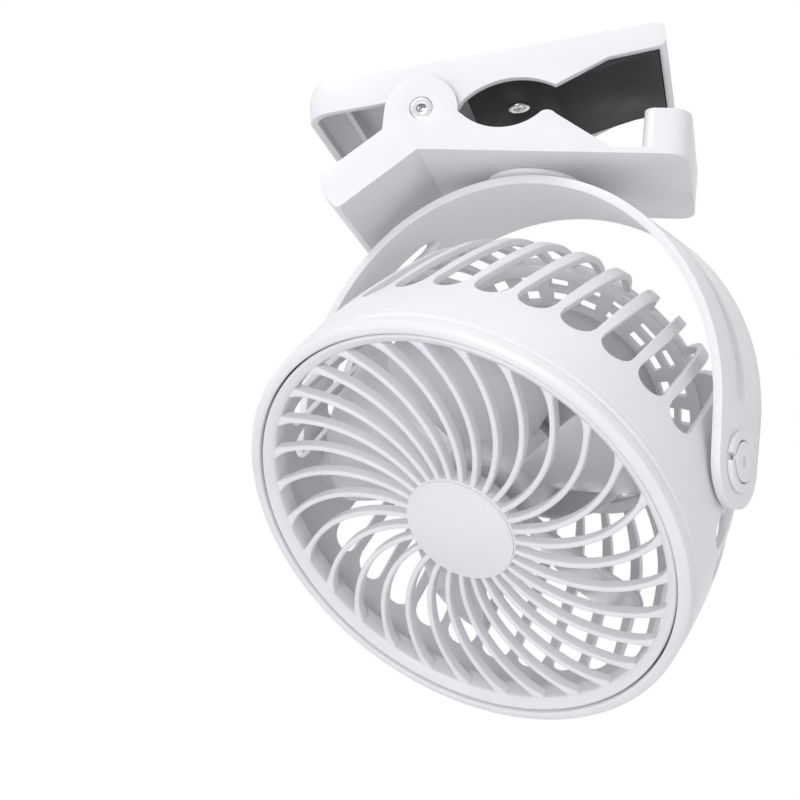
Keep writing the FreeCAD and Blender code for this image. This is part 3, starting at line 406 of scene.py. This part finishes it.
def vented_barrel():
    """The drum's wall as one sheet, with rows of leaning open slots above and below the pivots."""
    slot_columns = 8
    columns = slot_columns + 2
    wall_line = [RIM, (69.42, 30.0), BELLY] + outer_wall()
    straight_start = VENT_TIP - VENT_HALF_WIDTH
    heights = [30.0, 25.0, 20.0, 17.2, straight_start] + [
        z for _, z in wall_line if z < straight_start - 2.0]
    tip_row = heights.index(straight_start)
    lean_row = tip_row - 1
    lean_middle = straight_start - 20.0
    rows = len(heights) - 1
    bm = bmesh.new()
    bmesh.ops.create_grid(bm, x_segments=VENT_PITCHES * columns, y_segments=rows, size=0.5)
    step = 2 * pi / VENT_PITCHES

    def cell(position):
        return (position.x + 0.5) * VENT_PITCHES * columns, (0.5 - position.y) * rows

    def is_open(pitch):
        return 1 <= pitch % (VENT_PITCHES // 2) <= VENTS_PER_SIDE

    gone = []
    for face in bm.faces:
        column, row = cell(face.calc_center_median())
        if row > tip_row and column % columns < slot_columns and is_open(int(column // columns)):
            gone.append(face)
    bmesh.ops.delete(bm, geom=gone, context="FACES")
    for vert in bm.verts:
        column, row = (round(value) for value in cell(vert.co))
        pitch, part = divmod(column, columns)
        height = heights[row]
        half = VENT_HALF_WIDTH
        if height < straight_start:
            fall = (straight_start - height) / (straight_start - BACK)
            half += (VENT_BACK_HALF_WIDTH - VENT_HALF_WIDTH) * fall
        across = -cos(pi * part / slot_columns) if part <= slot_columns else 1.0
        if row == tip_row and 0 < part < slot_columns and is_open(pitch % VENT_PITCHES):
            height += VENT_HALF_WIDTH * sqrt(1 - across * across)
        radius = along(wall_line, height)
        lean = tan(VENT_LEAN) * (height - lean_middle) / radius if row >= lean_row else 0.0
        offset = across * half / radius
        if part > slot_columns:
            offset = step / 2
        angle = step * (pitch + 0.5) + lean + offset
        vert.co = (radius * cos(angle), radius * sin(angle), height)
    bmesh.ops.remove_doubles(bm, verts=bm.verts[:], dist=0.01)
    bmesh.ops.recalc_face_normals(bm, faces=bm.faces[:])
    some = bm.faces[:][0]
    outward = some.calc_center_median()
    if some.normal.dot(Vector((outward.x, outward.y, 0))) < 0:
        bmesh.ops.reverse_faces(bm, faces=bm.faces[:])
    piece = placed(bm, "drum_barrel", HEAD_PLACE, "head", "shell_plastic", ("housing",))
    wall = piece.modifiers.new("Wall", "SOLIDIFY")
    wall.thickness = WALL * 0.001
    wall.offset = -1.0
    edges = piece.modifiers.new("Round edges", "BEVEL")
    edges.width = 0.0003
    edges.segments = 2
    edges.limit_method = "ANGLE"
    edges.angle_limit = radians(50)


def drum_rim():
    """The front rim with its groove and ledge, the ring round the back opening and the pivot bosses."""
    inner = SEAT - 1.8
    rim = turned_ring([
        (SEAT, LEDGE), (SEAT, FRONT + 2.6), (SEAT + 0.7, FRONT + 3.0), (SEAT + 2.0, FRONT + 2.7), RIM,
        (69.3, 33.0), (68.9, 32.6), (68.9, 32.1), (69.36, 31.7), (69.42, 30.0), (67.3, 30.0),
        (67.3, 29.0), (inner, 29.0), (inner, LEDGE)], 0.25, 192)
    back_ring = turned_ring([
        (BACK_OPENING, BACK), (BACK_EDGE[0] + 0.2, BACK), (BACK_EDGE[0] + 0.6, BACK + WALL),
        (BACK_OPENING, BACK + WALL)], 0.4)
    bosses = []
    for side in (1, -1):
        boss = turned_ring([
            (0.0, BOSS_INSIDE), (BOSS_RADIUS, BOSS_INSIDE), (BOSS_RADIUS, BOSS_OUTSIDE),
            (0.0, BOSS_OUTSIDE)], 0.3, 48)
        bosses.append(turned_about(boss, "Y", side * pi / 2))
    placed(joined(rim, back_ring, *bosses), "drum_rim_and_bosses", HEAD_PLACE, "head",
           "shell_plastic", ("housing",))


# The front grille

def curved_spoke():
    """One rounded rib that leaves the hub straight out and leans over, wider where it meets the ring."""
    # The rib is swept on a circle of radius SPOKE_BOW until it is as far out as reach.
    a, b = 2 * HUB * SPOKE_BOW, 2 * SPOKE_BOW * SPOKE_BOW
    reach = OPENING + 1.0
    k = reach * reach - HUB * HUB
    turn = atan2(b, a) + asin((k - b) / hypot(a, b))
    flare = 5.0
    flare_start = OPENING - flare
    bm = bmesh.new()
    half = SPOKE_WIDTH / 2
    corners = [bm.verts.new((HUB, y, z)) for y, z in
               ((-half, FRONT - SPOKE_DEPTH), (half, FRONT - SPOKE_DEPTH), (half, FRONT), (-half, FRONT))]
    bm.faces.new(corners)
    bmesh.ops.bevel(bm, geom=corners[2:], offset=0.62, offset_type="OFFSET", segments=4, profile=0.5,
                    affect="VERTICES", material=-1)
    centre = Vector((HUB, SPOKE_BOW, 0.0))
    bmesh.ops.spin(bm, geom=everything(bm), cent=centre, axis=(0, 0, 1), angle=turn, steps=26)
    for vert in bm.verts:
        distance = hypot(vert.co.x, vert.co.y)
        if distance > flare_start:
            grow = 1.0 + 0.9 * ((distance - flare_start) / flare) ** 2
            arm = Vector((vert.co.x, vert.co.y, 0.0)) - centre
            reach_out = SPOKE_BOW + (arm.length - SPOKE_BOW) * grow
            flat = centre + arm.normalized() * reach_out
            vert.co = (flat.x, flat.y, vert.co.z)
    bmesh.ops.recalc_face_normals(bm, faces=bm.faces[:])
    return bm


def grille():
    """The front ring, the hub and the spokes between them in one piece, and the domed cap in another."""
    spokes = turned_about(curved_spoke(), "Z", SPOKE_PHASE)
    round_the_axis(spokes, SPOKES)
    ring = turned_ring([
        (OPENING, GRILLE_LOW), (OPENING + 1.8, GRILLE_LOW), (OPENING + 1.8, LEDGE), (GRILLE_OUTSIDE, LEDGE),
        (GRILLE_OUTSIDE, FRONT + 1.8), (GRILLE_OUTSIDE - 0.7, FRONT + 2.2), (OPENING + 0.6, FRONT + 0.7),
        (OPENING, FRONT - 0.1)], 0.3, 192)
    hub_inside, hub_outside = 14.4, 17.4
    hub = turned_ring([
        (hub_inside, GRILLE_LOW), (hub_outside, GRILLE_LOW), (hub_outside, FRONT), (0.0, FRONT),
        (0.0, FRONT - 2.0), (hub_inside, FRONT - 2.0)])
    placed(joined(ring, hub, spokes), "grille_with_spokes", HEAD_PLACE, "head", "shell_plastic",
           ("front_grille",))
    edge_height, rise, spread = 0.6, 2.6, 0.3
    dome = [(HUB * sin(angle) / sin(spread),
             FRONT + edge_height + rise * (cos(angle) - cos(spread)) / (1 - cos(spread)))
            for angle in (spread - 0.03 * n for n in range(10))]
    cap = turned_ring([(0.0, FRONT), (HUB, FRONT)] + dome + [(0.0, FRONT + 3.2)], 0.0, 96)
    placed(cap, "hub_cap", HEAD_PLACE, "head", "shell_plastic", ("grille_cap",))


# The impeller

def leaf_blade():
    """One broad thin leaf, steep at the hub, flatter and rounded at the tip."""
    bm = bmesh.new()
    bmesh.ops.create_grid(bm, x_segments=22, y_segments=14, size=0.5)
    for vert in bm.verts:
        out, side = vert.co.x + 0.5, 2 * vert.co.y
        radius = BLADE_ROOT + BLADE_REACH * out
        half_chord = BLADE_HALF_CHORD + BLADE_WIDENING * sin(min(out * 1.1, 1.0) * pi / 2)
        if out > BLADE_ROUND_FROM:
            half_chord *= sqrt(1.0 - 0.9 * ((out - BLADE_ROUND_FROM) / (1.0 - BLADE_ROUND_FROM)) ** 2.6)
        pitch = radians(BLADE_PITCH - BLADE_UNTWIST * out)
        chord = side * half_chord
        angle = chord * cos(pitch) / radius + BLADE_SWEEP * out
        bow = BLADE_BOW * (1.0 - side * side)
        vert.co = (radius * cos(angle), radius * sin(angle), BLADE_HEIGHT + chord * sin(pitch) + bow)
    bmesh.ops.recalc_face_normals(bm, faces=bm.faces[:])
    bmesh.ops.solidify(bm, geom=bm.faces[:], thickness=BLADE_THICKNESS)
    rims = [e for e in bm.edges if e.calc_face_angle(0) > radians(50)]
    bmesh.ops.bevel(bm, geom=rims, offset=0.45, offset_type="OFFSET", segments=2, profile=0.5,
                    affect="EDGES", clamp_overlap=True, material=-1)
    bmesh.ops.recalc_face_normals(bm, faces=bm.faces[:])
    return bm


def impeller():
    """The blades round a hub like a cup, open at the back, with a small boss for the shaft."""
    blades = leaf_blade()
    round_the_axis(blades, BLADES)
    hub = turned_ring([
        (1.0, 19.0), (13.0, 19.0), (15.2, 18.0), (IMPELLER_HUB, 16.0), (IMPELLER_HUB, -3.0),
        (14.0, -3.0), (14.0, 16.5), (4.0, 16.5), (4.0, 9.0), (1.0, 9.0)], 0.5, 96)
    placed(joined(hub, blades), "leaf_bladed_impeller", HEAD_PLACE, "rotor", "impeller_plastic",
           ("impeller",))


# Small turned and wound pieces

def pivot_covers():
    """The notched ring and the recessed screw on the outside of each arm."""
    inside, outside = PIVOT_RING_RADII
    for side, name in ((1, "right"), (-1, "left")):
        half_ring = turned_ring([
            (inside, PIVOT_FACE), (outside, PIVOT_FACE), (outside, PIVOT_RING_OUTSIDE),
            (inside, PIVOT_RING_OUTSIDE)], 0.45, 40, PIVOT_RING_ARC)
        turned_about(half_ring, "Z", PIVOT_RING_TURN)
        round_the_axis(half_ring, 2)
        turn = Matrix.Rotation(side * pi / 2, 4, "Y")
        placed(half_ring, "notched_pivot_ring_" + name, YOKE_PLACE @ turn, "yoke", "shell_plastic",
               ("pivot_ring_" + name,))
    screws = []
    for side in (1, -1):
        screw = turned_ring([
            (0.0, BOSS_INSIDE), (SCREW_SHANK, BOSS_INSIDE), (SCREW_SHANK, SCREW_HEAD_SEAT),
            (SCREW_HEAD, SCREW_HEAD_SEAT), (SCREW_HEAD, SCREW_HEAD_TOP), (1.7, SCREW_HEAD_TOP),
            (1.3, 74.1), (1.3, 73.3), (0.0, 73.3)], 0.3, 48)
        screws.append(turned_about(screw, "Y", side * pi / 2))
    placed(joined(*screws), "recessed_pivot_screws", HEAD_PLACE, "head", "shell_plastic", ("pivot_screws",))


def wound_spring():
    """The torsion spring's close turns about the hinge pin, with one leg on the lower half."""
    turns, wire, radius, pitch = 7, 0.75, 5.4, 1.52
    bm = bmesh.new()
    bmesh.ops.create_circle(bm, segments=12, radius=wire, cap_ends=True,
                            matrix=Matrix.Translation((radius, 5.2, 0)))
    steps = turns * 24
    bmesh.ops.spin(bm, geom=everything(bm), cent=(0, 0, 0), axis=(0, 1, 0),
                   dvec=(0, -turns * pitch / steps, 0), angle=turns * 2 * pi, steps=steps)
    leg = bmesh.new()
    way = Vector((10.6, 0.0, -9.25))
    lie = way.to_track_quat("Z", "Y").to_matrix().to_4x4()
    middle = Matrix.Translation(Vector((radius, 5.0, 0)) + way / 2)
    bmesh.ops.create_cone(leg, cap_ends=True, segments=12, radius1=wire, radius2=wire, depth=way.length,
                          matrix=middle @ lie)
    bmesh.ops.recalc_face_normals(bm, faces=bm.faces[:])
    placed(joined(bm, leg), "wound_clip_spring", HINGE_PLACE, "clip_base", "spring_steel", ("clip_spring",))


vented_barrel()
drum_rim()
grille()
impeller()
pivot_covers()
wound_spring()

# The CAD pieces that keep their shape and get rounded edges of these widths, in millimetres.

EDGE_WIDTHS = {
    "clip_base_shell": 0.5, "clip_lever_shell": 0.6, "yoke_band": 0.5, "swivel_collar": 0.4,
    "lower_jaw_pad": 0.3, "upper_jaw_pad": 0.4, "pad_screw": 0.15, "hinge_pin": 0.15,
    "rear_cover": 0.25, "motor_pod": 0.25, "power_button": 0.2,
}
for soft_node, edge_width in EDGE_WIDTHS.items():
    softened(soft_node, edge_width)


# The floor, the light and the camera

def seen_white(tree, lit, white, result):
    """Send one shader to the rays of the eye, of a gloss or of a clear surface, and another to the rest."""
    rays = add_node(tree, "ShaderNodeLightPath")
    seen = add_node(tree, "ShaderNodeMath", {"operation": "MAXIMUM"})
    any_seen = add_node(tree, "ShaderNodeMath", {"operation": "MAXIMUM"})
    mix = add_node(tree, "ShaderNodeMixShader")
    link = tree.links.new
    link(rays.outputs["Is Camera Ray"], seen.inputs[0])
    link(rays.outputs["Is Glossy Ray"], seen.inputs[1])
    link(seen.outputs["Value"], any_seen.inputs[0])
    link(rays.outputs["Is Transmission Ray"], any_seen.inputs[1])
    link(any_seen.outputs["Value"], mix.inputs["Fac"])
    link(lit, mix.inputs[1])
    link(white, mix.inputs[2])
    link(mix.outputs["Shader"], result.inputs["Surface"])


def plain_floor():
    """A wide floor that the eye sees as nearly white, and that bounces the lamps' light up to the fan."""
    bm = bmesh.new()
    bmesh.ops.create_grid(bm, x_segments=1, y_segments=1, size=FLOOR_WIDTH / 2)
    bmesh.ops.translate(bm, verts=bm.verts[:], vec=(0, 0, FLOOR_HEIGHT))
    mesh = bpy.data.meshes.new("pale_floor")
    bm.to_mesh(mesh)
    bm.free()
    floor = bpy.data.objects.new("pale_floor", mesh)
    scene.collection.objects.link(floor)
    material = bpy.data.materials.new("Pale floor")
    material.use_nodes = True
    tree = material.node_tree
    shader = tree.nodes["Principled BSDF"]
    shader.inputs["Base Color"].default_value = (0.86, 0.86, 0.89, 1.0)
    shader.inputs["Roughness"].default_value = 0.9
    pale = add_node(tree, "ShaderNodeEmission", Color=(1.0, 1.0, 1.0, 1.0), Strength=1.04)
    shadowed = add_node(tree, "ShaderNodeMixShader", Fac=0.96)
    tree.links.new(shader.outputs["BSDF"], shadowed.inputs[1])
    tree.links.new(pale.outputs["Emission"], shadowed.inputs[2])
    seen_white(tree, shader.outputs["BSDF"], shadowed.outputs["Shader"], tree.nodes["Material Output"])
    mesh.materials.append(material)


def studio_world():
    """Even pale light, and plain white where it is seen directly."""
    world = bpy.data.worlds.new("Studio")
    scene.world = world
    world.use_nodes = True
    tree = world.node_tree
    tree.nodes.clear()
    light = add_node(tree, "ShaderNodeBackground", Color=(0.94, 0.945, 0.97, 1.0), Strength=0.54)
    white = add_node(tree, "ShaderNodeBackground", Color=(1.0, 1.0, 1.0, 1.0), Strength=1.0)
    result = add_node(tree, "ShaderNodeOutputWorld")
    seen_white(tree, light.outputs["Background"], white.outputs["Background"], result)


def lamp(name, place, width, power, color):
    """A square lamp that is turned to the middle of the fan."""
    light = bpy.data.lights.new(name, "AREA")
    light.size = width
    light.energy = power
    light.color = color
    thing = bpy.data.objects.new(name, light)
    scene.collection.objects.link(thing)
    thing.location = place
    thing.rotation_euler = (MIDDLE - Vector(place)).to_track_quat("-Z", "Y").to_euler()


def camera():
    """The viewpoint, from which the round opening and the clip's edges fall where they should."""
    right = Vector((0.9696, 0.2205, 0.1059))
    up = Vector((-0.0570, -0.2173, 0.9744))
    back = Vector((0.2379, -0.9509, -0.1981))
    eye = Vector((0.0348, -0.4476, -0.1788))
    data = bpy.data.cameras.new("View")
    data.lens = 68.67
    data.sensor_width = 36.0
    thing = bpy.data.objects.new("View", data)
    scene.collection.objects.link(thing)
    turn = Matrix((right, up, back)).transposed().to_4x4()
    thing.matrix_world = Matrix.Translation(eye) @ turn
    scene.camera = thing


# Each lamp's name, place, width in metres, power in watts and colour.

LAMPS = (
    ("Key", (-0.515, -0.43, 0.60), 0.45, 2.8, (1.0, 1.0, 1.0)),
    ("Low", (-0.20, -0.72, -0.25), 0.4, 2.9, (1.0, 1.0, 1.0)),
    ("Fill", (0.60, -0.45, 0.10), 0.7, 1.1, (0.97, 0.97, 1.0)),
    ("Top", (0.05, 0.25, 0.60), 0.6, 0.9, (1.0, 1.0, 1.0)),
)

plain_floor()
studio_world()
for lamp_values in LAMPS:
    lamp(*lamp_values)
camera()

scene.view_settings.view_transform = "Standard"
